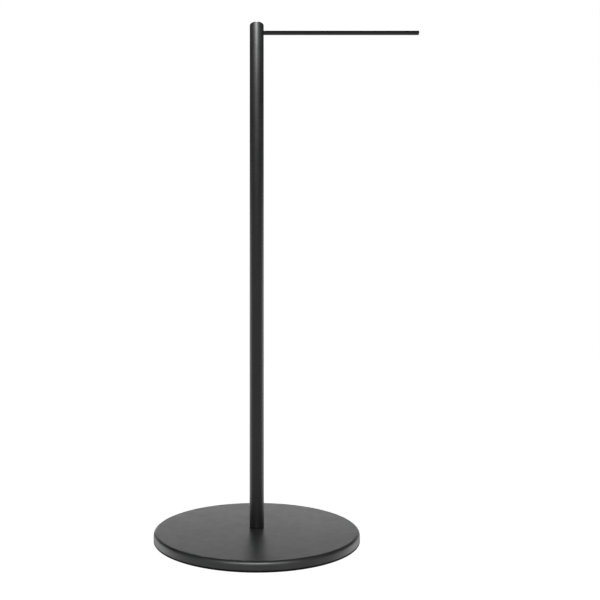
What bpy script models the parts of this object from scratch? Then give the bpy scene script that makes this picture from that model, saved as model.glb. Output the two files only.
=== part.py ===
"""Standing coat rack: a wide round weighted base, a tubular post and one straight arm.

Units are metres, +Z is up. The origin is on the post's axis at floor level, and the arm
points along +X. Each piece of the assembly is one object, and pieces that touch in the
real rack keep FIT_GAP between their meshes.
"""
import math

import bmesh
import bpy

# ---- driving dimensions -------------------------------------------------------------
FIT_GAP = 0.0003

BASE_RADIUS = 0.300
BASE_HEIGHT = 0.026
BASE_EDGE_RADIUS = 0.0095
COVER_THICKNESS = 0.002

RUBBER_HEIGHT = 0.0045
RUBBER_FLANGE_HEIGHT = 0.0027
RUBBER_FLANGE_WIDTH = 0.020
RUBBER_LIP_TOP = 0.014
RUBBER_LIP_THICKNESS = 0.0032
RUBBER_CORNER = 0.0007

POST_RADIUS = 0.0212
POST_WALL = 0.002
POST_TOP = 1.535
GASKET_THICKNESS = 0.0008
CAP_FLANGE = 0.003
CAP_SPIGOT = 0.006
CAP_EDGE_RADIUS = 0.0014

ARM_RADIUS = 0.006
ARM_DROP = 0.024
ARM_REACH = 0.492
ARM_THREAD_RADIUS = 0.005
ARM_THREAD_LENGTH = 0.030
ARM_END_CHAMFER = 0.0006
SOCKET_HEIGHT = 0.028
PLUG_HEIGHT = 0.030

BOLT_RADIUS = 0.005
BOLT_HEAD_FLATS = 0.016
BOLT_HEAD_HEIGHT = 0.0064
BOLT_REACH = 0.026
BOLT_CHAMFER = 0.001
BOLT_HEAD_OVERLAP = 0.002
WASHER_RADIUS = 0.010
WASHER_THICKNESS = 0.002
SPRING_WASHER_RADIUS = 0.009
SPRING_WASHER_THICKNESS = 0.0022
SPRING_WASHER_SLOT = 0.0015
MOUNTING_PLATE_RADIUS = 0.080
MOUNTING_PLATE_THICKNESS = 0.005

ACCESS_HOLE_RADIUS = 0.035
ACCESS_CAP_FLANGE_RADIUS = 0.032
ACCESS_CAP_NECK_RADIUS = 0.025
ACCESS_CAP_TOP = 0.006
BOTTOM_PLATE_THICKNESS = 0.0015

SCREW_COUNT = 6
SCREW_CIRCLE_RADIUS = 0.245
SCREW_RADIUS = 0.002
SCREW_LENGTH = 0.0105
SCREW_HEAD_RADIUS = 0.004
SCREW_HEAD_HEIGHT = 0.0020
ANCHOR_RADIUS = 0.004
ANCHOR_LENGTH = 0.011

BASE_SEGMENTS = 72
POST_SEGMENTS = 48
SMALL_SEGMENTS = 24
TINY_SEGMENTS = 16
ARC_STEPS = 5

# ---- levels worked out from them ----------------------------------------------------
COVER_UNDERSIDE = BASE_HEIGHT - COVER_THICKNESS
COVER_INNER_RADIUS = BASE_RADIUS - COVER_THICKNESS
COVER_BOTTOM = RUBBER_HEIGHT + FIT_GAP
RUBBER_LIP_OUTER = COVER_INNER_RADIUS - FIT_GAP
RUBBER_LIP_INNER = RUBBER_LIP_OUTER - RUBBER_LIP_THICKNESS
RUBBER_INNER_RADIUS = BASE_RADIUS - RUBBER_FLANGE_WIDTH

PLATE_BOTTOM = RUBBER_FLANGE_HEIGHT + FIT_GAP
PLATE_TOP = PLATE_BOTTOM + BOTTOM_PLATE_THICKNESS
CORE_RADIUS = RUBBER_LIP_INNER - FIT_GAP
CORE_BOTTOM = PLATE_TOP + FIT_GAP
CORE_TOP = COVER_UNDERSIDE - FIT_GAP
MOUNTING_PLATE_BOTTOM = CORE_TOP - MOUNTING_PLATE_THICKNESS
CORE_RECESS_TOP = MOUNTING_PLATE_BOTTOM - FIT_GAP

WASHER_BOTTOM = MOUNTING_PLATE_BOTTOM - FIT_GAP - WASHER_THICKNESS
SPRING_WASHER_BOTTOM = WASHER_BOTTOM - FIT_GAP - SPRING_WASHER_THICKNESS
BOLT_HEAD_BOTTOM = SPRING_WASHER_BOTTOM - FIT_GAP - BOLT_HEAD_HEIGHT
BOLT_HOLE_RADIUS = BOLT_RADIUS + FIT_GAP

GASKET_BOTTOM = BASE_HEIGHT + FIT_GAP
POST_BOTTOM = GASKET_BOTTOM + GASKET_THICKNESS + FIT_GAP
TUBE_TOP = POST_TOP - CAP_FLANGE - FIT_GAP
BORE_RADIUS = POST_RADIUS - POST_WALL
INSERT_RADIUS = BORE_RADIUS - FIT_GAP

ARM_HEIGHT = POST_TOP - ARM_DROP
ARM_SHOULDER = INSERT_RADIUS + 2 * FIT_GAP


# ---- modelling helpers --------------------------------------------------------------
def clear_scene():
    for old in list(bpy.data.objects):
        bpy.data.objects.remove(old, do_unlink=True)


def new_collection(name):
    collection = bpy.data.collections.new(name)
    bpy.context.scene.collection.children.link(collection)
    return collection


def new_group(name, parent=None, location=(0, 0, 0), rotation=(0, 0, 0)):
    empty = bpy.data.objects.new(name, None)
    RACK.objects.link(empty)
    empty.parent = parent
    empty.location = location
    empty.rotation_euler = rotation
    return empty


def finish_material(name, color, roughness, metallic=0.0):
    material = bpy.data.materials.new(name)
    material.use_nodes = True
    shader = material.node_tree.nodes["Principled BSDF"]
    shader.inputs["Base Color"].default_value = (*color, 1.0)
    shader.inputs["Roughness"].default_value = roughness
    shader.inputs["Metallic"].default_value = metallic
    return material


def arc(center, radius, start_deg, end_deg, steps=ARC_STEPS):
    """Profile points (r, z) round an arc, both ends included."""
    points = []
    for step in range(steps + 1):
        angle = math.radians(start_deg + (end_deg - start_deg) * step / steps)
        points.append((center[0] + radius * math.cos(angle), center[1] + radius * math.sin(angle)))
    return points


def settle_mesh(obj):
    """Replace the object's mesh by its evaluated one, smooth with sharp corners."""
    depsgraph = bpy.context.evaluated_depsgraph_get()
    mesh = bpy.data.meshes.new_from_object(obj.evaluated_get(depsgraph))
    obj.modifiers.clear()
    obj.data = mesh
    mesh.name = obj.name
    mesh.shade_smooth()
    mesh.set_sharp_from_angle(angle=math.radians(35))


def turned(name, profile, segments, material=None, parent=None):
    """A solid of revolution about Z. The profile of (r, z) points runs down its outer side.

    A profile that starts and ends on the axis is left open, any other is closed to a ring.
    """
    mesh = bpy.data.meshes.new(name)
    points = [(radius, 0, height) for radius, height in profile]
    edges = [(index, index + 1) for index in range(len(points) - 1)]
    if profile[0][0] > 0:
        edges.append((len(points) - 1, 0))
    mesh.from_pydata(points, edges, [])
    obj = bpy.data.objects.new(name, mesh)
    RACK.objects.link(obj)
    screw = obj.modifiers.new("Turn", "SCREW")
    screw.angle = math.tau
    screw.steps = segments
    screw.render_steps = segments
    screw.use_merge_vertices = True
    screw.merge_threshold = 0.00001
    settle_mesh(obj)
    obj.parent = parent
    if material:
        obj.data.materials.append(material)
    return obj


def disc_profile(radius, bottom, top):
    return [(0, top), (radius, top), (radius, bottom), (0, bottom)]


def ring_profile(outer, inner, bottom, top):
    return [(outer, top), (outer, bottom), (inner, bottom), (inner, top)]


def cutter_cylinders(name, places, radius, bottom, top, segments):
    """One cutter made of upright cylinders that stand at the (x, y) places."""
    mesh = bpy.data.meshes.new(name)
    shape = bmesh.new()
    for x, y in places:
        made = bmesh.ops.create_cone(
            shape, cap_ends=True, segments=segments, radius1=radius, radius2=radius, depth=top - bottom)
        bmesh.ops.translate(shape, verts=made["verts"], vec=(x, y, (top + bottom) / 2))
    shape.to_mesh(mesh)
    shape.free()
    return hidden_tool(name, mesh)


def hidden_tool(name, mesh):
    tool = bpy.data.objects.new(name, mesh)
    TOOLS.objects.link(tool)
    tool.hide_render = True
    tool.display_type = "WIRE"
    return tool


def combine(obj, tool, operation):
    boolean = obj.modifiers.new(tool.name, "BOOLEAN")
    boolean.operation = operation
    boolean.solver = "EXACT"
    boolean.object = tool


def around_circle(count, radius):
    return [(radius * math.cos(math.tau * index / count), radius * math.sin(math.tau * index / count))
            for index in range(count)]


# ---- the weighted base --------------------------------------------------------------
def make_base_cover():
    """Pressed steel dish with a rounded shoulder and a bolt hole in its middle."""
    center = (BASE_RADIUS - BASE_EDGE_RADIUS, BASE_HEIGHT - BASE_EDGE_RADIUS)
    outside = arc(center, BASE_EDGE_RADIUS, 90, 0)
    inside = arc(center, BASE_EDGE_RADIUS - COVER_THICKNESS, 0, 90)
    profile = [
        (BOLT_HOLE_RADIUS, BASE_HEIGHT),
        *outside,
        (BASE_RADIUS, COVER_BOTTOM),
        (COVER_INNER_RADIUS, COVER_BOTTOM),
        *inside,
        (BOLT_HOLE_RADIUS, COVER_UNDERSIDE),
    ]
    turned("base_cover", profile, BASE_SEGMENTS, powder_coat("base"), BASE)


def make_rubber_edge():
    """Black rubber ring: a foot under the cover's wall and a lip that grips its inside."""
    profile = [
        (RUBBER_LIP_OUTER, RUBBER_LIP_TOP),
        (RUBBER_LIP_OUTER, RUBBER_HEIGHT),
        (BASE_RADIUS, RUBBER_HEIGHT),
        (BASE_RADIUS, RUBBER_CORNER),
        (BASE_RADIUS - RUBBER_CORNER, 0),
        (RUBBER_INNER_RADIUS, 0),
        (RUBBER_INNER_RADIUS, RUBBER_FLANGE_HEIGHT),
        (RUBBER_LIP_INNER, RUBBER_FLANGE_HEIGHT),
        (RUBBER_LIP_INNER, RUBBER_LIP_TOP),
    ]
    rubber = finish_material("edge rubber", (0.012, 0.012, 0.013), 0.7)
    turned("rubber_edge", profile, BASE_SEGMENTS, rubber, BASE)


def make_concrete_core(anchor_places):
    """Cast ballast that fills the cover, stepped for the mounting plate and the bolt head."""
    center = (BASE_RADIUS - BASE_EDGE_RADIUS, BASE_HEIGHT - BASE_EDGE_RADIUS)
    shoulder_radius = BASE_EDGE_RADIUS - COVER_THICKNESS - FIT_GAP
    shoulder_start = math.degrees(math.acos((CORE_RADIUS - center[0]) / shoulder_radius))
    recess_radius = MOUNTING_PLATE_RADIUS + FIT_GAP
    profile = [
        (recess_radius, CORE_TOP),
        *arc(center, shoulder_radius, 90, shoulder_start, 2),
        (CORE_RADIUS, CORE_BOTTOM),
        (ACCESS_HOLE_RADIUS, CORE_BOTTOM),
        (ACCESS_HOLE_RADIUS, CORE_RECESS_TOP),
        (recess_radius, CORE_RECESS_TOP),
    ]
    concrete = finish_material("cast concrete", (0.42, 0.41, 0.39), 0.9)
    core = turned("concrete_core", profile, BASE_SEGMENTS, concrete, BASE)
    holes = cutter_cylinders(
        "anchor_holes", anchor_places, ANCHOR_RADIUS + FIT_GAP, CORE_BOTTOM - 0.002,
        CORE_BOTTOM + ANCHOR_LENGTH + FIT_GAP, TINY_SEGMENTS)
    combine(core, holes, "DIFFERENCE")


def make_mounting_plate():
    """Steel disc under the cover that spreads the pull of the tie bolt."""
    profile = ring_profile(MOUNTING_PLATE_RADIUS, BOLT_HOLE_RADIUS, MOUNTING_PLATE_BOTTOM, CORE_TOP)
    turned("mounting_plate", profile, POST_SEGMENTS, zinc("mounting plate"), BASE)


def make_bottom_plate(screw_places):
    """Sheet that closes the ballast, with clearance holes for its screws."""
    profile = ring_profile(CORE_RADIUS, ACCESS_CAP_NECK_RADIUS + FIT_GAP, PLATE_BOTTOM, PLATE_TOP)
    plate = turned("bottom_plate", profile, BASE_SEGMENTS, zinc("bottom plate"), BASE)
    holes = cutter_cylinders(
        "screw_holes", screw_places, SCREW_RADIUS + FIT_GAP, PLATE_BOTTOM - 0.001, PLATE_TOP + 0.001,
        TINY_SEGMENTS)
    combine(plate, holes, "DIFFERENCE")


def make_bottom_plate_screw(number, place):
    """Pan head screw that holds the bottom plate, driven up into its anchor."""
    head_bottom = PLATE_BOTTOM - FIT_GAP - SCREW_HEAD_HEIGHT
    head_top = PLATE_BOTTOM - FIT_GAP
    tip = head_top + SCREW_LENGTH
    profile = [
        (0, tip),
        (SCREW_RADIUS / 2, tip - SCREW_RADIUS / 2),
        (SCREW_RADIUS, tip - SCREW_RADIUS),
        (SCREW_RADIUS, head_top),
        (SCREW_HEAD_RADIUS, head_top),
        (SCREW_HEAD_RADIUS, head_bottom + SCREW_HEAD_HEIGHT / 2),
        (SCREW_HEAD_RADIUS - SCREW_HEAD_HEIGHT / 2, head_bottom),
        (0, head_bottom),
    ]
    screw = turned(f"bottom_plate_screw_{number}", profile, TINY_SEGMENTS, zinc(f"screw {number}"), BASE)
    screw.location = (*place, 0)


def make_screw_anchor(number, place):
    """Nylon sleeve that is cast into the ballast and takes a screw."""
    profile = ring_profile(ANCHOR_RADIUS, SCREW_RADIUS + FIT_GAP, CORE_BOTTOM, CORE_BOTTOM + ANCHOR_LENGTH)
    nylon = finish_material(f"anchor nylon {number}", (0.55, 0.55, 0.52), 0.5)
    anchor = turned(f"screw_anchor_{number}", profile, TINY_SEGMENTS, nylon, BASE)
    anchor.location = (*place, 0)


def make_access_cap():
    """Rubber plug over the tie bolt, level with the rubber edge's foot."""
    profile = [
        (0, ACCESS_CAP_TOP),
        (ACCESS_CAP_NECK_RADIUS, ACCESS_CAP_TOP),
        (ACCESS_CAP_NECK_RADIUS, RUBBER_FLANGE_HEIGHT),
        (ACCESS_CAP_FLANGE_RADIUS, RUBBER_FLANGE_HEIGHT),
        (ACCESS_CAP_FLANGE_RADIUS, RUBBER_CORNER),
        (ACCESS_CAP_FLANGE_RADIUS - RUBBER_CORNER, 0),
        (0, 0),
    ]
    rubber = finish_material("access cap rubber", (0.015, 0.015, 0.016), 0.7)
    turned("access_cap", profile, POST_SEGMENTS, rubber, BASE)


# ---- the fastening between base and post --------------------------------------------
def make_tie_bolt():
    """Hexagon head bolt that pulls the post down on the cover."""
    head_top = BOLT_HEAD_BOTTOM + BOLT_HEAD_HEIGHT
    shank_top = POST_BOTTOM + BOLT_REACH
    shank_start = head_top - BOLT_HEAD_OVERLAP
    shank_profile = [
        (0, shank_top),
        (BOLT_RADIUS - BOLT_CHAMFER, shank_top),
        (BOLT_RADIUS, shank_top - BOLT_CHAMFER),
        (BOLT_RADIUS, shank_start),
        (0, shank_start),
    ]
    bolt = turned("tie_bolt", shank_profile, SMALL_SEGMENTS, zinc("tie bolt"), BASE)
    corner_radius = BOLT_HEAD_FLATS / 2 / math.cos(math.pi / 6)
    head = cutter_cylinders("tie_bolt_head", [(0, 0)], corner_radius, BOLT_HEAD_BOTTOM, head_top, 6)
    combine(bolt, head, "UNION")


def make_washers():
    flat = ring_profile(WASHER_RADIUS, BOLT_HOLE_RADIUS, WASHER_BOTTOM, WASHER_BOTTOM + WASHER_THICKNESS)
    turned("flat_washer", flat, SMALL_SEGMENTS, zinc("flat washer"), BASE)
    spring_top = SPRING_WASHER_BOTTOM + SPRING_WASHER_THICKNESS
    spring = ring_profile(SPRING_WASHER_RADIUS, BOLT_HOLE_RADIUS, SPRING_WASHER_BOTTOM, spring_top)
    washer = turned("spring_washer", spring, SMALL_SEGMENTS, zinc("spring washer"), BASE)
    slot_mesh = bpy.data.meshes.new("spring_washer_slot")
    shape = bmesh.new()
    made = bmesh.ops.create_cube(shape, size=1)
    bmesh.ops.scale(shape, verts=made["verts"], vec=(SPRING_WASHER_RADIUS, SPRING_WASHER_SLOT, 0.004))
    middle = (SPRING_WASHER_BOTTOM + spring_top) / 2
    bmesh.ops.translate(shape, verts=made["verts"], vec=(SPRING_WASHER_RADIUS, 0, middle))
    shape.to_mesh(slot_mesh)
    shape.free()
    combine(washer, hidden_tool("spring_washer_slot", slot_mesh), "DIFFERENCE")


def make_foot_gasket():
    """Thin fibre ring that keeps the post's end off the cover's paint."""
    profile = ring_profile(POST_RADIUS, BOLT_HOLE_RADIUS, GASKET_BOTTOM, GASKET_BOTTOM + GASKET_THICKNESS)
    fibre = finish_material("gasket fibre", (0.02, 0.02, 0.02), 0.8)
    turned("foot_gasket", profile, POST_SEGMENTS, fibre, BASE)


# ---- the post and the arm -----------------------------------------------------------
def make_post_tube():
    """Round steel tube with one hole near its top, where the arm enters."""
    height = TUBE_TOP - POST_BOTTOM
    tube = turned("post_tube", ring_profile(POST_RADIUS, BORE_RADIUS, 0, height),
                  POST_SEGMENTS, powder_coat("post"), POST)
    side_hole = cutter_cylinders("arm_hole", [(0, 0)], ARM_RADIUS + FIT_GAP, BORE_RADIUS / 2,
                                 2 * POST_RADIUS, SMALL_SEGMENTS)
    side_hole.parent = ARM
    combine(tube, side_hole, "DIFFERENCE")


def make_foot_plug():
    """Threaded steel insert at the tube's lower end."""
    turned("foot_plug", ring_profile(INSERT_RADIUS, BOLT_HOLE_RADIUS, 0, PLUG_HEIGHT),
           POST_SEGMENTS, zinc("foot plug"), POST)


def make_arm_socket():
    """Steel slug in the tube's upper end, cross drilled for the arm's thread."""
    bottom = ARM_HEIGHT - POST_BOTTOM - SOCKET_HEIGHT / 2
    socket = turned("arm_socket", disc_profile(INSERT_RADIUS, bottom, bottom + SOCKET_HEIGHT),
                    POST_SEGMENTS, zinc("arm socket"), POST)
    cross_hole = cutter_cylinders("socket_hole", [(0, 0)], ARM_THREAD_RADIUS + FIT_GAP, -POST_RADIUS,
                                  POST_RADIUS, SMALL_SEGMENTS)
    cross_hole.parent = ARM
    combine(socket, cross_hole, "DIFFERENCE")


def make_top_cap():
    """Cap that closes the tube, as wide as the tube and rounded at its edge."""
    flange_bottom = POST_TOP - CAP_FLANGE
    spigot_bottom = flange_bottom - CAP_SPIGOT
    corner = (POST_RADIUS - CAP_EDGE_RADIUS, POST_TOP - CAP_EDGE_RADIUS)
    profile = [
        (0, POST_TOP),
        *arc(corner, CAP_EDGE_RADIUS, 90, 0, 4),
        (POST_RADIUS, flange_bottom),
        (INSERT_RADIUS, flange_bottom),
        (INSERT_RADIUS, spigot_bottom),
        (0, spigot_bottom),
    ]
    turned("top_cap", [(radius, height - POST_BOTTOM) for radius, height in profile],
           POST_SEGMENTS, powder_coat("cap"), POST)


def make_arm_rod():
    """Straight round rod with a thinner threaded end inside the post."""
    profile = [
        (0, ARM_REACH),
        (ARM_RADIUS - ARM_END_CHAMFER, ARM_REACH),
        (ARM_RADIUS, ARM_REACH - ARM_END_CHAMFER),
        (ARM_RADIUS, ARM_SHOULDER),
        (ARM_THREAD_RADIUS, ARM_SHOULDER),
        (ARM_THREAD_RADIUS, ARM_SHOULDER - ARM_THREAD_LENGTH),
        (0, ARM_SHOULDER - ARM_THREAD_LENGTH),
    ]
    turned("arm_rod", profile, SMALL_SEGMENTS, powder_coat("arm"), ARM)


def powder_coat(piece):
    return finish_material(f"black powder coat {piece}", (0.018, 0.018, 0.020), 0.4)


def zinc(piece):
    return finish_material(f"zinc plated steel {piece}", (0.60, 0.60, 0.62), 0.35, 1.0)


clear_scene()
RACK = new_collection("coat_rack")
TOOLS = new_collection("cutting_tools")
BASE = new_group("base_group")
POST = new_group("post_group", BASE, (0, 0, POST_BOTTOM))
ARM = new_group("arm_group", BASE, (0, 0, ARM_HEIGHT), (0, math.pi / 2, 0))

screw_places = around_circle(SCREW_COUNT, SCREW_CIRCLE_RADIUS)
make_base_cover()
make_rubber_edge()
make_concrete_core(screw_places)
make_mounting_plate()
make_bottom_plate(screw_places)
for screw_number, screw_place in enumerate(screw_places, start=1):
    make_bottom_plate_screw(screw_number, screw_place)
    make_screw_anchor(screw_number, screw_place)
make_access_cap()
make_tie_bolt()
make_washers()
make_foot_gasket()
make_post_tube()
make_foot_plug()
make_arm_socket()
make_top_cap()
make_arm_rod()
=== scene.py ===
import math

import bmesh
import bpy
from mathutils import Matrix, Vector


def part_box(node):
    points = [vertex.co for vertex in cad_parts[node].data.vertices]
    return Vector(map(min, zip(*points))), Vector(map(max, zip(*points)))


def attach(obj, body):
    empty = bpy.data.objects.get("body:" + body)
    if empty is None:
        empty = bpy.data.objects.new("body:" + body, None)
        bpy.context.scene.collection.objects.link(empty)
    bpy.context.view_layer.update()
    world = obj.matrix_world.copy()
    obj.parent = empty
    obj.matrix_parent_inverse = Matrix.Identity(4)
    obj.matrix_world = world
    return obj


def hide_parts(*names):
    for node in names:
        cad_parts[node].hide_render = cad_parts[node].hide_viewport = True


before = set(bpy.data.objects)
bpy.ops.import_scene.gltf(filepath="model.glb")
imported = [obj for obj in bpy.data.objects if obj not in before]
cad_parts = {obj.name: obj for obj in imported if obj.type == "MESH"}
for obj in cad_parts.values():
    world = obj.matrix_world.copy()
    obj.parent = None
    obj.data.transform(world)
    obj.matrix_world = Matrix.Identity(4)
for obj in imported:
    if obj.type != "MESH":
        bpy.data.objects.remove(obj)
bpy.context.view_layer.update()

# ---- sizes read from the frame ------------------------------------------------------
cover_low, cover_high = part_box("base_cover")
edge_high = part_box("rubber_edge")[1]
plate_low, plate_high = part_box("bottom_plate")
core_low, core_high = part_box("concrete_core")
mounting_low, mounting_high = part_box("mounting_plate")
access_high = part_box("access_cap")[1]
bolt_low, bolt_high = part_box("tie_bolt")
spring_low, spring_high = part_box("spring_washer")
washer_low, washer_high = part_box("flat_washer")
gasket_low, gasket_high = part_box("foot_gasket")
plug_low, plug_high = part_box("foot_plug")
tube_low, tube_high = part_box("post_tube")
socket_low, socket_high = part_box("arm_socket")
cap_low, cap_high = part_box("top_cap")
rod_low, rod_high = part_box("arm_rod")
screw_low, screw_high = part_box("bottom_plate_screw_1")
anchor_low, anchor_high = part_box("screw_anchor_1")

SCREW_NUMBERS = range(1, 7)
SCREW_PLACES = []
for number in SCREW_NUMBERS:
    low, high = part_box(f"bottom_plate_screw_{number}")
    SCREW_PLACES.append(((low.x + high.x) / 2, (low.y + high.y) / 2))

GAP = 0.0003
BASE_RADIUS = cover_high.x
BASE_TOP = cover_high.z
SHEET = 0.002
SHOULDER_RADIUS = 0.0095
SHOULDER_CENTER = (BASE_RADIUS - SHOULDER_RADIUS, BASE_TOP - SHOULDER_RADIUS)
RUBBER_FLANGE = 0.0027
BORE_FOR_BOLT = 0.0053
ACCESS_HOLE_RADIUS = 0.035
ACCESS_NECK_RADIUS = 0.025

POST_RADIUS = tube_high.x
TUBE_WALL = 0.002
INSERT_RADIUS = plug_high.x

ARM_RADIUS = (rod_high.z - rod_low.z) / 2
ARM_HEIGHT = (rod_high.z + rod_low.z) / 2
ARM_SHOULDER = INSERT_RADIUS + 2 * GAP

HEAD_HEIGHT = 0.0064
SCREW_HEAD_HEIGHT = 0.002
SCREW_HEAD_RADIUS = (screw_high.x - screw_low.x) / 2
ANCHOR_RADIUS = (anchor_high.x - anchor_low.x) / 2

# A thread is (radius of its skin, pitch, depth of the groove, negative for a ridge).
BOLT_THREAD = (0.005, 0.0015, 0.0008)
BORE_THREAD = (BORE_FOR_BOLT, 0.0015, -0.0006)
SCREW_THREAD = (0.002, 0.0014, 0.0005)
THREAD_ROWS_PER_TURN = 8

ROUND_STEPS = 192
TUBE_STEPS = 96
SMALL_STEPS = 48
TINY_STEPS = 32

# Points that are nearer together than these are merged after turning and after cutting.
TURNED_MERGE = 0.000002
CUT_MERGE = 0.00002
CORNER_DEG = 32
THREAD_CORNER_DEG = 50


# ---- modelling helpers --------------------------------------------------------------
def deselect_everything():
    bpy.ops.object.select_all(action="DESELECT")


def select_only(piece):
    deselect_everything()
    piece.select_set(True)
    bpy.context.view_layer.objects.active = piece


def open_for_editing(piece):
    select_only(piece)
    bpy.ops.object.mode_set(mode="EDIT")


def close_editing():
    bpy.ops.object.mode_set(mode="OBJECT")


def pick_vertices(piece, wanted):
    bpy.ops.mesh.select_mode(type="VERT")
    bpy.ops.mesh.select_all(action="DESELECT")
    shape = bmesh.from_edit_mesh(piece.data)
    for vertex in shape.verts:
        vertex.select_set(wanted(vertex))
    bmesh.update_edit_mesh(piece.data)


def pick_faces(piece, wanted):
    bpy.ops.mesh.select_mode(type="FACE")
    bpy.ops.mesh.select_all(action="DESELECT")
    shape = bmesh.from_edit_mesh(piece.data)
    for face in shape.faces:
        face.select_set(wanted(face))
    bmesh.update_edit_mesh(piece.data)


def arc(center, radius, start_deg, end_deg, steps):
    """Section points (radius, height) round an arc, both ends included."""
    points = []
    for step in range(steps + 1):
        angle = math.radians(start_deg + (end_deg - start_deg) * step / steps)
        points.append((center[0] + radius * math.cos(angle), center[1] + radius * math.sin(angle)))
    return points


def turn_on_lathe(name, section, steps, along="Z", axis_height=0.0, turn=math.tau):
    """Draws a section of (radius, distance along the axis) points and spins it round.

    A section that begins and ends on the axis gives a solid, any other a ring. A turn of
    less than a full circle leaves a gap between two flat ends.
    """
    if along == "Z":
        points = [Vector((radius, 0, distance)) for radius, distance in section]
        axis = (0, 0, 1)
    else:
        points = [Vector((distance, 0, axis_height + radius)) for radius, distance in section]
        axis = (1, 0, 0)
    deselect_everything()
    bpy.ops.mesh.primitive_plane_add(size=0.001, location=points[0])
    piece = bpy.context.active_object
    piece.name = name
    piece.data.name = name
    settle(piece)
    open_for_editing(piece)
    bpy.ops.mesh.select_mode(type="VERT")
    bpy.ops.mesh.select_all(action="SELECT")
    bpy.ops.mesh.merge(type="CENTER")
    for here, there in zip(points, points[1:]):
        bpy.ops.mesh.extrude_vertices_move(TRANSFORM_OT_translate={"value": there - here})
    if section[0][0] > 0:
        pick_vertices(piece, lambda vertex: len(vertex.link_edges) == 1)
        bpy.ops.mesh.edge_face_add()
    bpy.ops.mesh.select_all(action="SELECT")
    bpy.ops.mesh.spin(steps=steps, angle=turn, center=(0, 0, axis_height), axis=axis)
    bpy.ops.mesh.select_all(action="SELECT")
    bpy.ops.mesh.remove_doubles(threshold=TURNED_MERGE)
    bpy.ops.mesh.fill_holes(sides=0)
    bpy.ops.mesh.select_all(action="SELECT")
    bpy.ops.mesh.normals_make_consistent(inside=False)
    close_editing()
    smooth_to_corners(piece)
    return piece


def smooth_to_corners(piece, corner_deg=CORNER_DEG):
    select_only(piece)
    bpy.ops.object.shade_smooth_by_angle(angle=math.radians(corner_deg))


def cut_or_join(piece, tool, operation):
    """Cuts the tool out of the piece, joins it on, or keeps what they share. Uses the tool up."""
    boolean = piece.modifiers.new("cut", "BOOLEAN")
    boolean.operation = operation
    boolean.solver = "EXACT"
    boolean.object = tool
    select_only(piece)
    bpy.ops.object.modifier_apply(modifier=boolean.name)
    bpy.data.objects.remove(tool, do_unlink=True)
    open_for_editing(piece)
    bpy.ops.mesh.select_all(action="SELECT")
    bpy.ops.mesh.remove_doubles(threshold=CUT_MERGE)
    bpy.ops.mesh.dissolve_degenerate(threshold=CUT_MERGE)
    close_editing()
    smooth_to_corners(piece)


def settle(piece):
    """Leaves the piece at the origin, unturned and unscaled, with its place in its mesh."""
    select_only(piece)
    bpy.ops.object.transform_apply(location=True, rotation=True, scale=True)


def hand_in(piece, slot, finish, *nodes):
    """Gives the piece its finish and lets it stand for its CAD nodes."""
    settle(piece)
    piece.data.materials.clear()
    piece.data.materials.append(finish)
    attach(piece, "root")
    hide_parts(*nodes)


def cut_thread(piece, start, end, thread, along="Z", axis_height=0.0):
    """Presses a thread into a round skin by moving its vertices in along a helix."""
    radius, pitch, full_depth = thread
    skin = 0.00005
    for vertex in piece.data.vertices:
        place = vertex.co
        distance = place.z if along == "Z" else place.x
        across = Vector((place.x, place.y)) if along == "Z" else Vector((place.y, place.z - axis_height))
        if distance < start or distance > end or abs(across.length - radius) > skin:
            continue
        turns = distance / pitch - math.atan2(across.y, across.x) / math.tau
        fade = min(1.0, (distance - start) / pitch, (end - distance) / pitch)
        depth = full_depth * fade * (0.5 - 0.5 * math.cos(math.tau * turns))
        across *= (across.length - depth) / across.length
        if along == "Z":
            vertex.co = (across.x, across.y, place.z)
        else:
            vertex.co = (place.x, across.x, axis_height + across.y)
    smooth_to_corners(piece, THREAD_CORNER_DEG)


def thread_rows(start, end, thread):
    """Section points close enough together to carry the thread, from start to end."""
    radius, pitch, _ = thread
    count = round(abs(end - start) / pitch * THREAD_ROWS_PER_TURN)
    return [(radius, start + (end - start) * row / count) for row in range(count + 1)]


def ring_section(outer, inner, bottom, top, broken):
    """Flat ring whose eight edges are broken."""
    return [
        (outer - broken, top), (outer, top - broken), (outer, bottom + broken), (outer - broken, bottom),
        (inner + broken, bottom), (inner, bottom + broken), (inner, top - broken), (inner + broken, top),
    ]


def cylinder_tools(places, radius, bottom, top):
    """One cutting tool made of upright cylinders that stand at the (x, y) places."""
    deselect_everything()
    tools = []
    for x, y in places:
        bpy.ops.mesh.primitive_cylinder_add(vertices=TINY_STEPS, radius=radius, depth=top - bottom,
                                            location=(x, y, (top + bottom) / 2))
        tools.append(bpy.context.active_object)
    deselect_everything()
    for tool in tools:
        tool.select_set(True)
    bpy.context.view_layer.objects.active = tools[0]
    bpy.ops.object.join()
    return bpy.context.active_object


def copy_to(model, name, place, turned):
    """Copies a model with its own mesh to an (x, y) place, turned about its axis."""
    copy = bpy.data.objects.new(name, model.data.copy())
    copy.data.name = name
    bpy.context.scene.collection.objects.link(copy)
    copy.location = (*place, 0)
    copy.rotation_euler = (0, 0, turned)
    return copy


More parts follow.
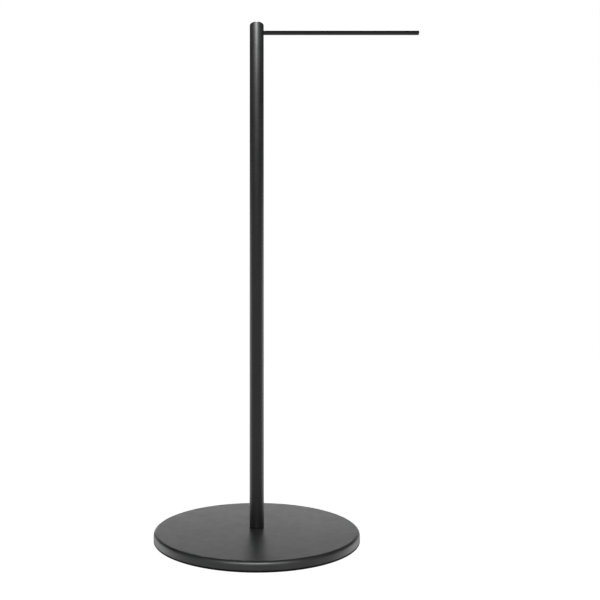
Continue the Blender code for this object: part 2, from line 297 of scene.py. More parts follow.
# ---- finishes -----------------------------------------------------------------------
class Finish:
    """A material built from nodes that read the piece's own coordinates."""

    def __init__(self, name, **constants):
        self.material = bpy.data.materials.new(name)
        self.material.use_nodes = True
        self.nodes = self.material.node_tree.nodes
        self.links = self.material.node_tree.links
        self.shader = self.nodes["Principled BSDF"]
        for socket, value in constants.items():
            self.shader.inputs[socket.replace("_", " ")].default_value = value
        self.place = self.nodes.new("ShaderNodeTexCoord").outputs["Object"]

    def add(self, kind, settings=(), **inputs):
        node = self.nodes.new(kind)
        for key, value in dict(settings).items():
            setattr(node, key, value)
        for socket, value in inputs.items():
            self.feed(node.inputs[socket.replace("_", " ")], value)
        return node

    def noise(self, cell, detail=2.0, roughness=0.5, vector=None, distortion=0.0):
        """Soft noise whose cells are about the given size in metres."""
        return self.add("ShaderNodeTexNoise", Vector=vector or self.place, Scale=1 / cell, Detail=detail,
                        Roughness=roughness, Distortion=distortion).outputs["Fac"]

    def cells(self, cell):
        return self.add("ShaderNodeTexVoronoi", Vector=self.place, Scale=1 / cell).outputs["Distance"]

    def stretched(self, scale):
        return self.add("ShaderNodeMapping", Vector=self.place, Scale=scale).outputs["Vector"]

    def spread(self, value, low, high, to_low=0.0, to_high=1.0):
        return self.add("ShaderNodeMapRange", Value=value, From_Min=low, From_Max=high, To_Min=to_low,
                        To_Max=to_high).outputs["Result"]

    def feed(self, socket, value):
        """Links the value to the socket, or sets it there if it is a constant."""
        if isinstance(value, bpy.types.NodeSocket):
            self.links.new(value, socket)
        else:
            socket.default_value = value

    def sums(self, operation, *values):
        node = self.add("ShaderNodeMath", {"operation": operation})
        for socket, value in zip(node.inputs, values):
            self.feed(socket, value)
        return node.outputs[0]

    def blend_colors(self, factor, first, second):
        node = self.add("ShaderNodeMix", {"data_type": "RGBA"})
        # A Mix node has its color sockets at 6 and 7, and its color result at 2.
        self.feed(node.inputs["Factor"], factor)
        self.feed(node.inputs[6], first)
        self.feed(node.inputs[7], second)
        return node.outputs[2]

    def split_place(self):
        return self.add("ShaderNodeSeparateXYZ", Vector=self.place).outputs

    def bump(self, *layers):
        """Stacks (height, strength, distance) layers of relief, coarse first."""
        normal = None
        for height, strength, distance in layers:
            inputs = {"Height": height, "Strength": strength, "Distance": distance}
            if normal:
                inputs["Normal"] = normal
            normal = self.add("ShaderNodeBump", **inputs).outputs["Normal"]
        self.links.new(normal, self.shader.inputs["Normal"])

    def set(self, socket, value):
        self.links.new(value, self.shader.inputs[socket])


def gray(value, tint=0.0):
    return (value * (1 - tint), value, value * (1 + tint), 1)


def black_powder_coat(name, shade, roughest, wear=None):
    """Satin black powder coat: orange peel, uneven gloss and a few rubbed places."""
    coat = Finish(name, IOR=1.5)
    mottle = coat.noise(0.06, 3, 0.55)
    speckle = coat.noise(0.0011, 2, 0.6)
    darker, lighter, flecks = gray(shade * 0.75, 0.02), gray(shade * 1.25, 0.03), gray(shade * 2.2, 0.02)
    color = coat.blend_colors(coat.spread(mottle, 0.35, 0.65), darker, lighter)
    color = coat.blend_colors(coat.spread(speckle, 0.52, 0.74, 0.0, 0.45), color, flecks)
    smears = coat.noise(0.035, 4, 0.6, coat.stretched((1, 1, 0.35)), 0.6)
    roughness = coat.spread(smears, 0.3, 0.7, roughest - 0.05, roughest)
    roughness = coat.sums("ADD", roughness, coat.spread(speckle, 0.3, 0.7, -0.025, 0.025))
    if wear:
        rubbed = wear(coat)
        color = coat.blend_colors(rubbed, color, gray(0.035))
        roughness = coat.sums("SUBTRACT", roughness, coat.sums("MULTIPLY", rubbed, 0.06))
    coat.set("Base Color", color)
    coat.set("Roughness", roughness)
    coat.bump((coat.noise(0.005, 1, 0.4), 0.18, 0.0004), (coat.noise(0.0013, 2, 0.55), 0.26, 0.00015))
    return coat.material


def base_wear(coat):
    """Faint scuffs on the shoulder, where shoes and brooms touch it."""
    x, y, _ = coat.split_place()
    distance = coat.sums("SQRT", coat.sums("ADD", coat.sums("POWER", x, 2.0), coat.sums("POWER", y, 2.0)))
    near_rim = coat.spread(distance, BASE_RADIUS - 0.012, BASE_RADIUS - 0.002)
    scratches = coat.noise(0.004, 5, 0.75, coat.stretched((1, 1, 4)))
    return coat.sums("MULTIPLY", near_rim, coat.spread(scratches, 0.6, 0.72, 0.0, 0.6))


def arm_wear(coat):
    """The rod's upper side is polished in short stretches by hangers."""
    z = coat.split_place()[2]
    on_top = coat.spread(z, ARM_HEIGHT + ARM_RADIUS * 0.4, ARM_HEIGHT + ARM_RADIUS)
    stretches = coat.noise(0.02, 3, 0.6, coat.stretched((1, 0.2, 0.2)))
    return coat.sums("MULTIPLY", on_top, coat.spread(stretches, 0.48, 0.66, 0.0, 0.5))


def black_rubber(name):
    """Dull black rubber with a fine grain and a grey bloom."""
    rubber = Finish(name, IOR=1.48, Specular_IOR_Level=0.25)
    grain = rubber.noise(0.0007, 3, 0.6)
    bloom = rubber.noise(0.018, 3, 0.6)
    rubber.set("Base Color", rubber.blend_colors(rubber.spread(bloom, 0.35, 0.7), gray(0.004), gray(0.009)))
    rubber.set("Roughness", rubber.spread(grain, 0.3, 0.7, 0.62, 0.78))
    rubber.bump((rubber.noise(0.004, 2), 0.15, 0.0002), (grain, 0.3, 0.00012))
    return rubber.material


def bright_zinc(name):
    """Zinc plating: metal with soft grey clouds and fine drawn lines."""
    zinc = Finish(name, Metallic=1.0)
    clouds = zinc.noise(0.012, 3, 0.55)
    spangle = zinc.cells(0.006)
    lines = zinc.noise(0.0006, 3, 0.6, zinc.stretched((1, 0.06, 1)))
    mix = zinc.sums("ADD", zinc.sums("MULTIPLY", clouds, 0.6), zinc.sums("MULTIPLY", spangle, 0.5))
    zinc.set("Base Color", zinc.blend_colors(zinc.spread(mix, 0.3, 0.8), gray(0.42, 0.01), gray(0.62, 0.012)))
    zinc.set("Roughness", zinc.sums("ADD", zinc.spread(clouds, 0.3, 0.7, 0.28, 0.4),
                                    zinc.spread(lines, 0.3, 0.7, -0.04, 0.06)))
    zinc.bump((lines, 0.12, 0.0001))
    return zinc.material


def turned_steel(name):
    """Plain machined steel with a thin film of oil."""
    steel = Finish(name, Metallic=1.0)
    rings = steel.noise(0.0004, 2, 0.5, steel.stretched((0.05, 0.05, 1)))
    stains = steel.noise(0.007, 3, 0.6)
    steel.set("Base Color", steel.blend_colors(steel.spread(stains, 0.35, 0.7), gray(0.34), gray(0.5, -0.02)))
    steel.set("Roughness", steel.spread(rings, 0.3, 0.7, 0.22, 0.38))
    steel.bump((rings, 0.2, 0.00008))
    return steel.material


def cast_concrete(name):
    """Grey mortar with sand grains and small air holes, whose dark grey is painted shade inside the pits."""
    mortar = Finish(name)
    cloud = mortar.noise(0.03, 4, 0.6)
    sand = mortar.noise(0.0016, 3, 0.7)
    # The air-hole mask drives both the holes' bump and their painted shade.
    holes = mortar.spread(mortar.cells(0.011), 0.0, 0.16)
    tone = mortar.blend_colors(mortar.spread(cloud, 0.3, 0.7), gray(0.30, -0.03), gray(0.44, -0.02))
    tone = mortar.blend_colors(mortar.spread(sand, 0.45, 0.7, 0.0, 0.5), tone, gray(0.22, -0.05))
    # Painted shade: the air holes are coloured dark grey, as if they were shaded inside.
    mortar.set("Base Color", mortar.blend_colors(holes, gray(0.12), tone))
    mortar.set("Roughness", mortar.spread(sand, 0.3, 0.7, 0.82, 0.97))
    mortar.bump((holes, 0.6, 0.0012), (sand, 0.5, 0.0005))
    return mortar.material


def white_nylon(name):
    """Off-white moulded nylon with faint flow lines."""
    nylon = Finish(name, IOR=1.53)
    flow = nylon.noise(0.004, 3, 0.5, nylon.stretched((1, 1, 0.3)))
    nylon.set("Base Color", nylon.blend_colors(flow, (0.56, 0.55, 0.5, 1), (0.68, 0.67, 0.62, 1)))
    nylon.set("Roughness", nylon.spread(flow, 0.3, 0.7, 0.38, 0.5))
    nylon.bump((flow, 0.1, 0.0002))
    return nylon.material


def pressed_fibre(name):
    """Black sheet of pressed fibres."""
    fibre = Finish(name)
    strands = fibre.noise(0.0008, 4, 0.7, fibre.stretched((1, 0.4, 1)))
    fibre.set("Base Color", fibre.blend_colors(strands, gray(0.008), gray(0.03)))
    fibre.set("Roughness", fibre.spread(strands, 0.3, 0.7, 0.75, 0.92))
    fibre.bump((strands, 0.3, 0.0001))
    return fibre.material


base_coat = black_powder_coat("base powder coat", shade=0.011, roughest=0.47, wear=base_wear)
post_coat = black_powder_coat("post powder coat", shade=0.004, roughest=0.41)
arm_coat = black_powder_coat("arm powder coat", shade=0.004, roughest=0.42, wear=arm_wear)
edge_rubber = black_rubber("edge rubber")
cap_rubber = black_rubber("access cap rubber")
zinc_finish = bright_zinc("zinc plate")
steel_finish = turned_steel("machined steel")
mortar_finish = cast_concrete("ballast mortar")
fibre_finish = pressed_fibre("gasket fibre")
nylon_finish = white_nylon("anchor nylon")


# ---- the weighted base --------------------------------------------------------------
def make_cover():
    """Pressed dish: flat top, rounded shoulder, straight skirt with a rounded lower lip."""
    center = SHOULDER_CENTER
    support = 0.0012
    lip = 0.0005
    inside = BASE_RADIUS - SHEET
    skirt = cover_low.z
    section = [
        (BORE_FOR_BOLT, BASE_TOP),
        (POST_RADIUS, BASE_TOP),
        (POST_RADIUS * 3, BASE_TOP),
        (BASE_RADIUS * 0.6, BASE_TOP),
        (center[0] - support, BASE_TOP),
        *arc(center, SHOULDER_RADIUS, 90, 0, 16),
        (BASE_RADIUS, center[1] - support),
        *arc((BASE_RADIUS - lip, skirt + lip), lip, 0, -90, 4),
        (inside, skirt),
        (inside, center[1] - support),
        *arc(center, SHOULDER_RADIUS - SHEET, 0, 90, 10),
        (center[0] - support, BASE_TOP - SHEET),
        (BORE_FOR_BOLT, BASE_TOP - SHEET),
    ]
    cover = turn_on_lathe("pressed_cover", section, ROUND_STEPS)
    hand_in(cover, "base_coat", base_coat, "base_cover")


def make_rubber_ring():
    """Edge ring: rounded foot, grip grooves underneath and a lip inside the skirt."""
    lip_outer = BASE_RADIUS - SHEET - GAP
    lip_inner = lip_outer - 0.0032
    inner = BASE_RADIUS - 0.020
    flange = RUBBER_FLANGE
    shoulder = cover_low.z - GAP
    corner = 0.0007
    grooves = []
    for index in range(5):
        middle = BASE_RADIUS - 0.0042 - index * 0.0028
        grooves += [(middle + 0.0005, 0), (middle, 0.0006), (middle - 0.0005, 0)]
    section = [
        (lip_outer - 0.0008, edge_high.z),
        (lip_outer, edge_high.z - 0.0012),
        (lip_outer, shoulder),
        *arc((BASE_RADIUS - 0.0004, shoulder - 0.0004), 0.0004, 90, 0, 3),
        *arc((BASE_RADIUS - corner, corner), corner, 0, -90, 4),
        *grooves,
        (inner + corner, 0),
        (inner, corner),
        (inner, flange),
        (lip_inner, flange),
        (lip_inner, edge_high.z - 0.0008),
        (lip_inner + 0.0008, edge_high.z),
    ]
    ring = turn_on_lathe("rubber_ring", section, ROUND_STEPS)
    hand_in(ring, "edge_rubber", edge_rubber, "rubber_edge")


def make_ballast():
    """Cast ballast with a stepped middle for the bolt, and six cast-in anchor holes."""
    shoulder = SHOULDER_RADIUS - SHEET - GAP
    start = math.degrees(math.acos((core_high.x - SHOULDER_CENTER[0]) / shoulder))
    recess = mounting_high.x + GAP
    recess_top = mounting_low.z - GAP
    broken = 0.0008
    section = [
        (recess, core_high.z),
        *arc(SHOULDER_CENTER, shoulder, 90, start, 8),
        (core_high.x, core_low.z + broken),
        (core_high.x - broken, core_low.z),
        (ACCESS_HOLE_RADIUS + broken, core_low.z),
        (ACCESS_HOLE_RADIUS, core_low.z + broken),
        (ACCESS_HOLE_RADIUS, recess_top),
        (recess, recess_top),
    ]
    ballast = turn_on_lathe("ballast_casting", section, TUBE_STEPS)
    holes = cylinder_tools(SCREW_PLACES, ANCHOR_RADIUS + GAP, core_low.z - 0.002, anchor_high.z + GAP)
    cut_or_join(ballast, holes, "DIFFERENCE")
    hand_in(ballast, "concrete", mortar_finish, "concrete_core")


def make_mounting_disc():
    """Thick steel disc that spreads the bolt's pull."""
    section = ring_section(mounting_high.x, BORE_FOR_BOLT, mounting_low.z, mounting_high.z, 0.0005)
    disc = turn_on_lathe("mounting_disc", section, TUBE_STEPS)
    hand_in(disc, "plate_zinc", zinc_finish, "mounting_plate")


def bead_drop(radius, beads, half_width, depth):
    """How far the sheet is pressed down at a radius by its ring-shaped beads."""
    drop = 0.0
    for middle in beads:
        if abs(radius - middle) < half_width:
            drop = depth * (0.5 + 0.5 * math.cos(math.pi * (radius - middle) / half_width))
    return drop


def make_bottom_sheet():
    """Closing sheet, stiffened by pressed ring beads, with six screw holes."""
    outer, inner = plate_high.x, ACCESS_NECK_RADIUS + GAP
    broken = 0.0003
    beads = (0.075, 0.135, 0.195)
    half_width, depth, steps = 0.009, 0.0013, 10
    radii = []
    for middle in reversed(beads):
        radii += [middle + half_width * (1 - 2 * step / steps) for step in range(steps + 1)]
    section = [
        (outer - broken, plate_high.z), (outer, plate_high.z - broken),
        (outer, plate_low.z + broken), (outer - broken, plate_low.z),
        *[(radius, plate_low.z - bead_drop(radius, beads, half_width, depth)) for radius in radii],
        (inner + broken, plate_low.z), (inner, plate_low.z + broken),
        (inner, plate_high.z - broken), (inner + broken, plate_high.z),
        *[(radius, plate_high.z - bead_drop(radius, beads, half_width, depth)) for radius in reversed(radii)],
    ]
    sheet = turn_on_lathe("bottom_sheet", section, ROUND_STEPS)
    holes = cylinder_tools(SCREW_PLACES, SCREW_THREAD[0] + GAP, plate_low.z - 0.001, plate_high.z + 0.001)
    cut_or_join(sheet, holes, "DIFFERENCE")
    hand_in(sheet, "bottom_zinc", zinc_finish, "bottom_plate")


def cross_recess(depth):
    """Tool for a cross slot: two tapered blades that stand in the screw's head."""
    blades = []
    for turned in (0, math.pi / 2):
        deselect_everything()
        bpy.ops.mesh.primitive_cube_add(size=1, location=(0, 0, screw_low.z))
        blade = bpy.context.active_object
        blade.scale = (SCREW_HEAD_RADIUS * 1.15, SCREW_HEAD_RADIUS * 0.26, depth * 2)
        blade.rotation_euler = (0, 0, turned)
        settle(blade)
        open_for_editing(blade)
        pick_faces(blade, lambda face: face.normal.z > 0.9)
        bpy.ops.transform.resize(value=(0.45, 0.45, 1), center_override=(0, 0, screw_low.z))
        close_editing()
        blades.append(blade)
    cut_or_join(blades[0], blades[1], "UNION")
    return blades[0]


def make_screws():
    """Pan head screws with a cross slot, one turned and cut, then copied to its places."""
    head_top = screw_low.z + SCREW_HEAD_HEIGHT
    radius = SCREW_THREAD[0]
    crown = 0.0014
    shank_end = screw_high.z - radius
    section = [
        (0, screw_high.z),
        (radius * 0.3, screw_high.z - radius * 0.2),
        *thread_rows(shank_end, head_top + 0.0005, SCREW_THREAD),
        (radius + 0.0003, head_top),
        (SCREW_HEAD_RADIUS - 0.0002, head_top),
        *arc((SCREW_HEAD_RADIUS - crown, screw_low.z + crown), crown, 0, -90, 8),
        (0, screw_low.z),
    ]
    model = turn_on_lathe("screw_model", section, TINY_STEPS)
    cut_thread(model, head_top + 0.0005, shank_end, SCREW_THREAD)
    cut_or_join(model, cross_recess(SCREW_HEAD_HEIGHT * 0.6), "DIFFERENCE")
    for number, place in zip(SCREW_NUMBERS, SCREW_PLACES):
        screw = copy_to(model, f"pan_screw_{number}", place, number * 0.77)
        hand_in(screw, "screw_zinc", zinc_finish, f"bottom_plate_screw_{number}")
    bpy.data.objects.remove(model, do_unlink=True)


def make_anchors():
    """Ribbed nylon sleeves with a split end, one turned and cut, then copied."""
    rib = 0.0005
    count = 5
    length = anchor_high.z - anchor_low.z
    ribs = []
    for index in range(count):
        top = anchor_high.z - 0.0006 - index * (length - 0.0016) / count
        ribs += [
            (ANCHOR_RADIUS - rib, top), (ANCHOR_RADIUS, top - 0.0007), (ANCHOR_RADIUS - rib, top - 0.0016),
        ]
    bore = SCREW_THREAD[0] + GAP
    section = [
        (ANCHOR_RADIUS - 2 * rib, anchor_high.z),
        *ribs,
        (ANCHOR_RADIUS, anchor_low.z + 0.0002),
        (ANCHOR_RADIUS, anchor_low.z),
        (bore + 0.0004, anchor_low.z),
        (bore, anchor_low.z + 0.0004),
        (bore, anchor_high.z),
    ]
    model = turn_on_lathe("anchor_model", section, TINY_STEPS)
    deselect_everything()
    bpy.ops.mesh.primitive_cube_add(size=1, location=(0, 0, anchor_high.z))
    slit = bpy.context.active_object
    slit.scale = (ANCHOR_RADIUS * 3, 0.0008, length * 0.8)
    settle(slit)
    cut_or_join(model, slit, "DIFFERENCE")
    for number, place in zip(SCREW_NUMBERS, SCREW_PLACES):
        anchor = copy_to(model, f"nylon_anchor_{number}", place, number * 1.3)
        hand_in(anchor, "anchor_nylon", nylon_finish, f"screw_anchor_{number}")
    bpy.data.objects.remove(model, do_unlink=True)


def make_access_plug():
    """Rubber plug: snap lip above the sheet, rounded flange with moulded rings, pry slots."""
    outer = access_high.x
    corner = 0.0009
    rings = []
    for middle in (outer - 0.0045, outer - 0.0085, outer - 0.0125):
        rings += [(middle + 0.0006, 0), (middle, 0.0006), (middle - 0.0006, 0)]
    section = [
        (0, access_high.z - 0.0015),
        (ACCESS_NECK_RADIUS - 0.0035, access_high.z - 0.0015),
        (ACCESS_NECK_RADIUS - 0.003, access_high.z),
        (ACCESS_NECK_RADIUS - 0.0004, access_high.z),
        (ACCESS_NECK_RADIUS + 0.0006, plate_high.z + 0.0007),
        (ACCESS_NECK_RADIUS, plate_high.z + 0.0002),
        (ACCESS_NECK_RADIUS, RUBBER_FLANGE + 0.0002),
        (ACCESS_NECK_RADIUS + 0.0002, RUBBER_FLANGE),
        (outer - 0.0004, RUBBER_FLANGE),
        (outer, RUBBER_FLANGE - 0.0004),
        *arc((outer - corner, corner), corner, 0, -90, 5),
        *rings,
        (0.0125, 0),
        (0.0115, 0.0008),
        (0, 0.0008),
    ]
    plug = turn_on_lathe("access_plug", section, TUBE_STEPS)
    for side in (-1, 1):
        deselect_everything()
        bpy.ops.mesh.primitive_cylinder_add(vertices=TINY_STEPS, radius=0.004, depth=0.002,
                                            location=(0, side * outer, 0.0006))
        cut_or_join(plug, bpy.context.active_object, "DIFFERENCE")
    hand_in(plug, "cap_rubber", cap_rubber, "access_cap")


# ---- the fastening between base and post --------------------------------------------
def make_bolt():
    """Hexagon bolt: chamfered head with a dished end, and a rolled thread."""
    head_top = bolt_low.z + HEAD_HEIGHT
    radius = BOLT_THREAD[0]
    corner = bolt_high.x
    flat = corner * math.cos(math.pi / 6)
    section = [
        (0, bolt_high.z),
        (radius - 0.0012, bolt_high.z),
        *thread_rows(bolt_high.z - 0.0009, head_top, BOLT_THREAD),
        (radius, head_top - 0.002),
        (0, head_top - 0.002),
    ]
    bolt = turn_on_lathe("hexagon_bolt", section, SMALL_STEPS)
    cut_thread(bolt, head_top + 0.003, bolt_high.z - 0.0009, BOLT_THREAD)
    deselect_everything()
    bpy.ops.mesh.primitive_cylinder_add(vertices=6, radius=corner, depth=HEAD_HEIGHT,
                                        location=(0, 0, bolt_low.z + HEAD_HEIGHT / 2))
    head = bpy.context.active_object
    settle(head)
    open_for_editing(head)
    pick_faces(head, lambda face: face.normal.z < -0.9)
    bpy.ops.mesh.inset(thickness=0.0026)
    bpy.ops.transform.translate(value=(0, 0, 0.0005))
    close_editing()
    turned_outline = [
        (0, head_top + 0.001),
        (flat - 0.0001, head_top + 0.001),
        (flat - 0.0001, head_top),
        (corner + 0.0005, head_top - 0.0006),
        (corner + 0.0005, bolt_low.z + 0.0010),
        (flat - 0.0003, bolt_low.z),
        (0, bolt_low.z - 0.001),
    ]
    outline = turn_on_lathe("head_outline", turned_outline, TUBE_STEPS)
    cut_or_join(head, outline, "INTERSECT")
    cut_or_join(bolt, head, "UNION")
    hand_in(bolt, "bolt_zinc", zinc_finish, "tie_bolt")


def make_washers():
    """Flat washer with rounded rims, and a split spring washer that is pressed flat."""
    flat = ring_section(washer_high.x, BORE_FOR_BOLT, washer_low.z, washer_high.z, 0.0003)
    hand_in(turn_on_lathe("plain_washer", flat, SMALL_STEPS), "bolt_zinc", zinc_finish, "flat_washer")
    split = ring_section(-spring_low.x, BORE_FOR_BOLT, spring_low.z, spring_high.z, 0.0002)
    gap_angle = 0.16
    washer = turn_on_lathe("split_washer", split, SMALL_STEPS, turn=math.tau - gap_angle)
    washer.rotation_euler = (0, 0, gap_angle / 2)
    hand_in(washer, "bolt_zinc", zinc_finish, "spring_washer")


def make_gasket():
    """Thin fibre ring under the foot of the post."""
    section = ring_section(gasket_high.x, BORE_FOR_BOLT, gasket_low.z, gasket_high.z, 0.00015)
    hand_in(turn_on_lathe("fibre_gasket", section, TUBE_STEPS), "gasket_rubber", fibre_finish, "foot_gasket")


def grooved_side(radius, top, bottom, count, depth=0.0006):
    """Section points down a round side with shallow glue grooves."""
    points = []
    for index in range(count):
        middle = top + (bottom - top) * (index + 1) / (count + 1)
        points += [(radius, middle + 0.0012), (radius - depth, middle + 0.0006),
                   (radius - depth, middle - 0.0006), (radius, middle - 0.0012)]
    return points


def make_threaded_plug():
    """Steel insert for the tube's foot: grooved outside and threaded inside."""
    broken = 0.0008
    low, high = plug_low.z, plug_high.z
    section = [
        (INSERT_RADIUS - broken, high),
        (INSERT_RADIUS, high - broken),
        *grooved_side(INSERT_RADIUS, high, low, 3),
        (INSERT_RADIUS, low + broken),
        (INSERT_RADIUS - broken, low),
        (BORE_FOR_BOLT + broken, low),
        *thread_rows(low + broken, high - broken, BORE_THREAD),
        (BORE_FOR_BOLT + broken, high),
    ]
    plug = turn_on_lathe("threaded_plug", section, SMALL_STEPS)
    cut_thread(plug, low + broken, high - broken, BORE_THREAD)
    hand_in(plug, "insert_steel", steel_finish, "foot_plug")


def make_socket():
    """Steel slug in the tube's head, cross drilled, tapped for the arm and countersunk."""
    broken = 0.0008
    low, high = socket_low.z, socket_high.z
    section = [
        (0, high),
        (INSERT_RADIUS - broken, high),
        (INSERT_RADIUS, high - broken),
        (INSERT_RADIUS, high - 0.003),
        (INSERT_RADIUS - 0.0006, high - 0.0036),
        (INSERT_RADIUS - 0.0006, high - 0.0052),
        (INSERT_RADIUS, high - 0.0058),
        (INSERT_RADIUS, low + 0.0058),
        (INSERT_RADIUS - 0.0006, low + 0.0052),
        (INSERT_RADIUS - 0.0006, low + 0.0036),
        (INSERT_RADIUS, low + 0.003),
        (INSERT_RADIUS, low + broken),
        (INSERT_RADIUS - broken, low),
        (0, low),
    ]
    socket = turn_on_lathe("tapped_socket", section, TUBE_STEPS)
    end = POST_RADIUS + 0.002
    tap_section = [(0, -end), *thread_rows(-end, end, BORE_THREAD), (0, end)]
    tap = turn_on_lathe("tap", tap_section, TINY_STEPS, "X", ARM_HEIGHT)
    cut_thread(tap, -end, end, BORE_THREAD, "X", ARM_HEIGHT)
    cut_or_join(socket, tap, "DIFFERENCE")
    mouth, bottom = POST_RADIUS, POST_RADIUS - 0.0049
    tip = 0.0112
    for side in (-1, 1):
        sink_section = [
            (0, side * mouth), (mouth - tip, side * mouth), (bottom - tip, side * bottom), (0, side * bottom),
        ]
        countersink = turn_on_lathe("countersink", sink_section, SMALL_STEPS, "X", ARM_HEIGHT)
        cut_or_join(socket, countersink, "DIFFERENCE")
    hand_in(socket, "insert_steel", steel_finish, "arm_socket")


# ---- the post and the arm -----------------------------------------------------------
def make_post():
    """Drawn tube with broken edges and a drilled hole for the arm."""
    bore = POST_RADIUS - TUBE_WALL
    broken = 0.0003
    section = [
        (POST_RADIUS - broken, tube_high.z),
        (POST_RADIUS, tube_high.z - broken),
        (POST_RADIUS, ARM_HEIGHT - 2 * POST_RADIUS),
        (POST_RADIUS, (tube_low.z + tube_high.z) / 2),
        (POST_RADIUS, tube_low.z + broken),
        (POST_RADIUS - broken, tube_low.z),
        (bore + broken, tube_low.z),
        (bore, tube_low.z + broken),
        (bore, tube_high.z - broken),
        (bore + broken, tube_high.z),
    ]
    post = turn_on_lathe("upright_post", section, TUBE_STEPS)
    deselect_everything()
    bpy.ops.mesh.primitive_cylinder_add(
        vertices=SMALL_STEPS, radius=ARM_RADIUS + GAP, depth=POST_RADIUS * 2,
        location=(POST_RADIUS * 1.5, 0, ARM_HEIGHT), rotation=(0, math.pi / 2, 0))
    cut_or_join(post, bpy.context.active_object, "DIFFERENCE")
    hand_in(post, "post_coat", post_coat, "post_tube")


def make_cap():
    """Closing cap: a rounded flange as wide as the tube, over a ribbed spigot."""
    corner = 0.0014
    flange = tube_high.z + GAP
    rib = 0.0004
    ribs = []
    for index in range(3):
        top = flange - 0.0006 - index * 0.0017
        ribs += [
            (INSERT_RADIUS - rib, top), (INSERT_RADIUS, top - 0.0004), (INSERT_RADIUS - rib, top - 0.0012),
        ]
    section = [
        (0, cap_high.z),
        (POST_RADIUS * 0.5, cap_high.z),
        (POST_RADIUS - corner - 0.0004, cap_high.z),
        *arc((POST_RADIUS - corner, cap_high.z - corner), corner, 90, 0, 8),
        (POST_RADIUS, flange + 0.0002),
        (POST_RADIUS - 0.0002, flange),
        (INSERT_RADIUS - rib, flange),
        *ribs,
        (INSERT_RADIUS - 0.0012, cap_low.z),
        (0, cap_low.z),
    ]
    cap = turn_on_lathe("closing_cap", section, TUBE_STEPS)
    hand_in(cap, "cap_coat", post_coat, "top_cap")


def make_arm():
    """Straight rod with a broken edge at its free end and a thread at the other."""
    chamfer = 0.0006
    thread_end = rod_low.x + 0.0012
    section = [
        (0, rod_high.x),
        (ARM_RADIUS - chamfer, rod_high.x),
        (ARM_RADIUS, rod_high.x - chamfer),
        (ARM_RADIUS, rod_high.x * 0.66),
        (ARM_RADIUS, rod_high.x * 0.33),
        (ARM_RADIUS, ARM_SHOULDER + 0.0003),
        (ARM_RADIUS - 0.0003, ARM_SHOULDER),
        *thread_rows(ARM_SHOULDER, thread_end, BOLT_THREAD),
        (BOLT_THREAD[0] - 0.0012, rod_low.x),
        (0, rod_low.x),
    ]
    arm = turn_on_lathe("straight_arm", section, SMALL_STEPS, "X", ARM_HEIGHT)
    cut_thread(arm, thread_end, ARM_SHOULDER - 0.002, BOLT_THREAD, "X", ARM_HEIGHT)
    hand_in(arm, "arm_coat", arm_coat, "arm_rod")


# ---- studio -------------------------------------------------------------------------
# A ramp is (from, to, value before, value after). Y points to the rear and Z up.
WORLD_AROUND = (-0.2, 0.9, 0.24, 1.0)
WORLD_UPWARDS = (0.16, 0.3, 3.6, 0.0)
WORLD_BELOW = (-0.3, 0.0, 0.72, 1.0)
WORLD_BEHIND = (0.45, 0.95, 1.0, 0.2)
FLOOR_GLOW = 1.0
FLOOR_SIZE = 60
CAMERA_PLACE = (-0.0007, -1.789, 0.532)
CAMERA_TILT_DEG = 92


def studio_camera():
    data = bpy.data.cameras.new("camera")
    data.lens = 36
    data.sensor_width = 36
    data.shift_x = 0.0725
    data.shift_y = 0.0576
    camera = bpy.data.objects.new("camera", data)
    camera.location = CAMERA_PLACE
    camera.rotation_euler = (math.radians(CAMERA_TILT_DEG), 0, 0)
    bpy.context.scene.collection.objects.link(camera)
    bpy.context.scene.camera = camera


def studio_floor():
    """White paper on the floor. It lights nothing, so that the black rack stays black."""
    deselect_everything()
    bpy.ops.mesh.primitive_plane_add(size=FLOOR_SIZE, location=(0, 0, 0))
    floor = bpy.context.active_object
    floor.name = "studio_floor"
    paper = Finish("white paper", Roughness=0.9, Specular_IOR_Level=0.0, Emission_Color=(1, 1, 1, 1),
                   Emission_Strength=FLOOR_GLOW)
    fibres = paper.noise(0.02, 4, 0.6)
    paper.set("Base Color", paper.blend_colors(fibres, gray(0.79), gray(0.81)))
    floor.data.materials.append(paper.material)
    floor.visible_glossy = False
    floor.visible_diffuse = False


def studio_lamp(name, kind, place, aim, power, lit_pieces, **shape):
    """A lamp that lights the named pieces only."""
    data = bpy.data.lights.new(name, kind)
    data.energy = power
    for setting, value in shape.items():
        setattr(data, setting, value)
    lamp = bpy.data.objects.new(name, data)
    lamp.location = place
    lamp.rotation_euler = (Vector(aim) - Vector(place)).to_track_quat("-Z", "Y").to_euler()
    bpy.context.scene.collection.objects.link(lamp)
    lit = bpy.data.collections.new(name)
    for piece in lit_pieces:
        lit.objects.link(bpy.data.objects[piece])
    lamp.light_linking.receiver_collection = lit


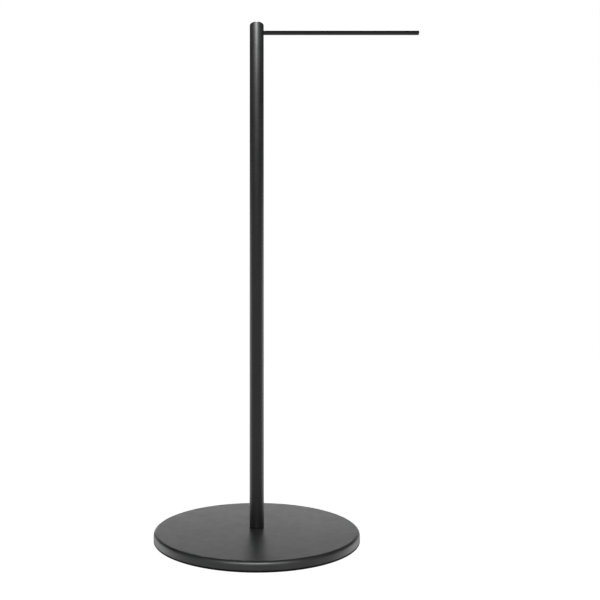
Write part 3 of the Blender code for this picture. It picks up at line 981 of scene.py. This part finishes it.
def studio_world():
    """White paper round the rack: dark above, brightest low at the rear sides, dimmer in front and behind."""
    world = bpy.data.worlds.new("studio")
    bpy.context.scene.world = world
    world.use_nodes = True
    nodes, links = world.node_tree.nodes, world.node_tree.links
    background = nodes["Background"]
    background.inputs["Color"].default_value = (1, 1, 1, 1)
    place = nodes.new("ShaderNodeTexCoord")
    parts = nodes.new("ShaderNodeSeparateXYZ")
    links.new(place.outputs["Generated"], parts.inputs[0])

    def ramp(value, start, end, first, last):
        node = nodes.new("ShaderNodeMapRange")
        node.interpolation_type = "SMOOTHSTEP"
        for socket, number in zip(("From Min", "From Max", "To Min", "To Max"), (start, end, first, last)):
            node.inputs[socket].default_value = number
        links.new(value, node.inputs["Value"])
        return node.outputs["Result"]

    def combine(operation, first, second):
        node = nodes.new("ShaderNodeMath")
        node.operation = operation
        links.new(first, node.inputs[0])
        links.new(second, node.inputs[1])
        return node.outputs[0]

    around = ramp(parts.outputs["Y"], *WORLD_AROUND)
    upwards = ramp(parts.outputs["Z"], *WORLD_UPWARDS)
    below = ramp(parts.outputs["Z"], *WORLD_BELOW)
    behind = ramp(parts.outputs["Y"], *WORLD_BEHIND)
    lit = combine("MULTIPLY", combine("MULTIPLY", around, upwards), combine("MULTIPLY", below, behind))
    path = nodes.new("ShaderNodeLightPath")
    seen = combine("MAXIMUM", path.outputs["Is Camera Ray"], lit)
    links.new(seen, background.inputs["Strength"])


make_cover()
make_rubber_ring()
make_ballast()
make_mounting_disc()
make_bottom_sheet()
make_screws()
make_anchors()
make_access_plug()
make_bolt()
make_washers()
make_gasket()
make_threaded_plug()
make_post()
make_socket()
make_cap()
make_arm()

studio_camera()
studio_floor()
studio_world()
studio_lamp("post spotlight", "SPOT", place=(-0.05, -0.45, 2.17), aim=(0, 0, 1.4), power=180,
            lit_pieces=["upright_post", "closing_cap"],
            spot_size=math.radians(70), spot_blend=1.0, shadow_soft_size=0.06)
studio_lamp("back panel light", "AREA", place=(0, 4, 0.6), aim=(0, 0, 0.03), power=31,
            lit_pieces=["pressed_cover"], shape="RECTANGLE", size=4, size_y=1)
studio_lamp("rim strip light", "AREA", place=(-0.05, -2.6, 2.45), aim=(0, -0.3, 0), power=170,
            lit_pieces=["pressed_cover"], shape="RECTANGLE", size=2.2, size_y=0.12)
bpy.context.scene.view_settings.view_transform = "Standard"
